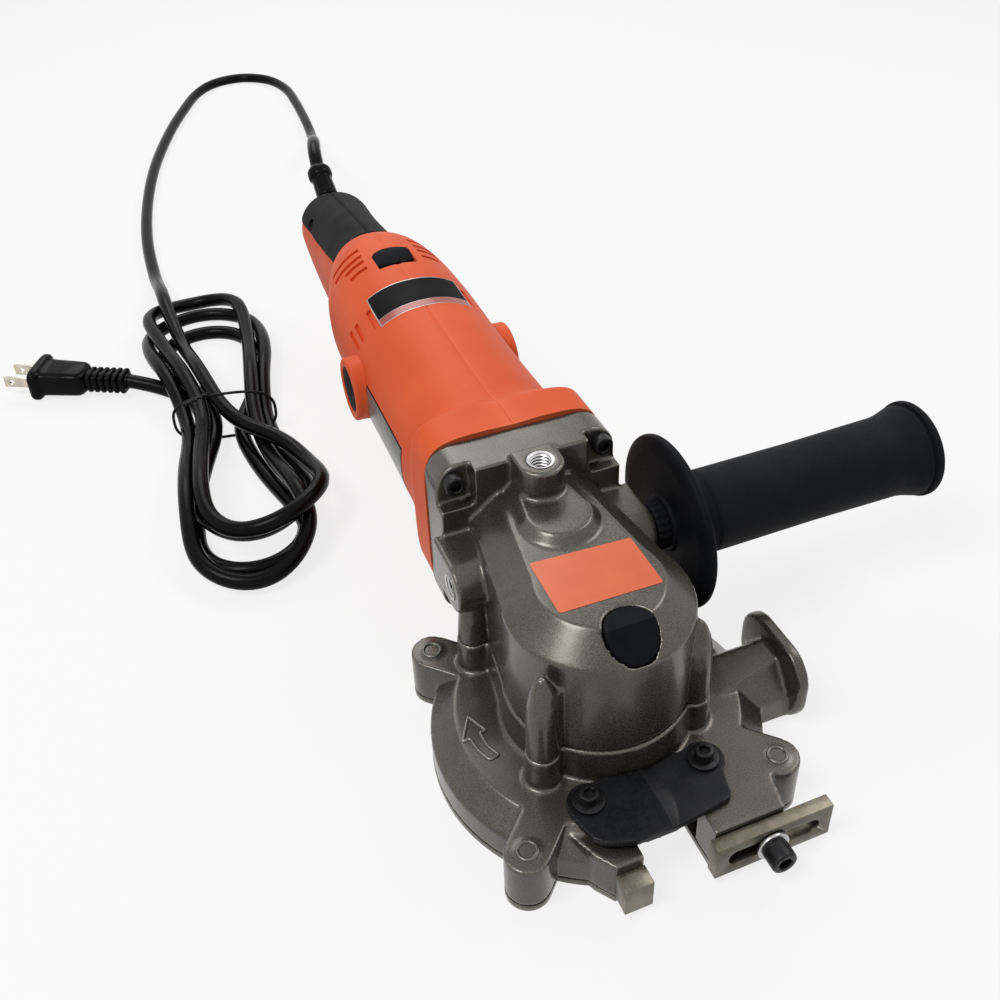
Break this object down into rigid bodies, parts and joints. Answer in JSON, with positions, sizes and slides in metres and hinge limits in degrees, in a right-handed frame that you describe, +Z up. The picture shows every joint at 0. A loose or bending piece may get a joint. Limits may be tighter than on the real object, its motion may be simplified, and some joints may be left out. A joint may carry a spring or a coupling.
{
  "type": "portable rebar cutting saw",
  "caption": "Corded portable saw: a flat toothed blade in a cast case with a notched mouth, a right-angle gear head, a motor body with tail handle and a side handle.",
  "frame": {"origin": "where the spindle axis meets the plane of the base", "axes": "+X towards the side handle, +Y along the motor body towards the tail, +Z up the spindle away from the base"},
  "size_m": [0.3827, 0.9193, 0.1039],
  "materials": {
    "cast_aluminium": "fine-grained grey-bronze casting, satin",
    "bright_steel": "machined",
    "black_steel": "black oxide",
    "zinc_steel": "yellow zinc plate, worn",
    "orange_plastic": "moulded, satin to gloss",
    "black_plastic": "moulded, matte",
    "grip_rubber": "soft overmould, matte",
    "cord_rubber": "smooth black jacket, slight sheen",
    "tie_plastic": "thin coated wire",
    "plug_metal": "plated",
    "copper": "enamelled wire",
    "brass": "plain",
    "carbon": "pressed carbon",
    "capacitor_plastic": "moulded box"
  },
  "bodies": {
    "frame": {"base_cover": "bright_steel", "base_cover_screws": "black_steel", "blade_case": "cast_aluminium", "case_screws": "black_steel", "fixed_stop": "zinc_steel", "chip_flap": "black_plastic", "flap_screws": "black_steel", "flap_washers": "black_steel", "stop_bolt": "black_steel", "stop_washer": "bright_steel", "gear_case": "cast_aluminium", "flange_screws": "black_steel", "gear_plate": "cast_aluminium", "spindle_bearing": "bright_steel", "spindle_bush": "brass", "spindle_seal": "cord_rubber", "countershaft_bearings": "bright_steel", "armature_front_bearing": "bright_steel", "armature_rear_bearing": "bright_steel", "housing_left": "orange_plastic", "housing_right": "orange_plastic", "grip_pad_left": "grip_rubber", "grip_pad_right": "grip_rubber", "housing_screws": "black_steel", "stator_core": "black_steel", "field_windings": "copper", "brush_holders": "brass", "carbon_brushes": "carbon", "brush_springs": "bright_steel", "brush_caps": "black_plastic", "switch_body": "black_plastic", "suppression_capacitor": "capacitor_plastic", "cord_boot": "cord_rubber", "power_cord": "cord_rubber", "cord_hank": "cord_rubber", "cord_tie": "tie_plastic", "plug_body": "cord_rubber", "plug_blades": "plug_metal", "side_handle_grip": "black_plastic", "hand_guard": "black_plastic", "handle_stud": "bright_steel", "lock_spring": "bright_steel"},
    "rotor": {"armature_shaft": "bright_steel", "armature_core": "black_steel", "armature_windings": "copper", "commutator": "copper", "cooling_fan": "black_plastic"},
    "countershaft": {"countershaft": "bright_steel", "intermediate_gear": "bright_steel"},
    "spindle": {"spindle": "bright_steel", "bevel_gear": "bright_steel", "blade_flanges": "bright_steel", "saw_blade": "bright_steel", "blade_bolt": "black_steel"},
    "switch": {"switch_knob": "black_plastic"},
    "lock": {"lock_button": "black_plastic"},
    "stop": {"stop_bar": "zinc_steel"}
  },
  "joints": [
    {"name": "spindle_spin", "type": "hinge", "parent": "frame", "child": "spindle", "pos_m": [0, 0, 0], "axis": [0, 0, 1], "continuous": true},
    {"name": "countershaft_spin", "type": "hinge", "parent": "frame", "child": "countershaft", "pos_m": [0, 0, 0.0755], "axis": [0, 1, 0], "continuous": true},
    {"name": "rotor_spin", "type": "hinge", "parent": "frame", "child": "rotor", "pos_m": [0, 0, 0.0625], "axis": [0, 1, 0], "continuous": true},
    {"name": "switch_slide", "type": "slide", "parent": "frame", "child": "switch", "axis": [0, -1, 0], "range_m": [0, 0.006]},
    {"name": "lock_press", "type": "slide", "parent": "frame", "child": "lock", "axis": [0, 0, -1], "range_m": [0, 0.004], "stiffness_N_per_m": 400, "springref_m": -0.003, "deforming": ["lock_spring"]},
    {"name": "stop_slide", "type": "slide", "parent": "frame", "child": "stop", "axis": [1, 0, 0], "range_m": [-0.014, 0.01]}
  ],
  "couplings": [
    {"joint": "countershaft_spin", "follows": "spindle_spin", "ratio": 3.4444},
    {"joint": "rotor_spin", "follows": "spindle_spin", "ratio": -7.75}
  ]
}
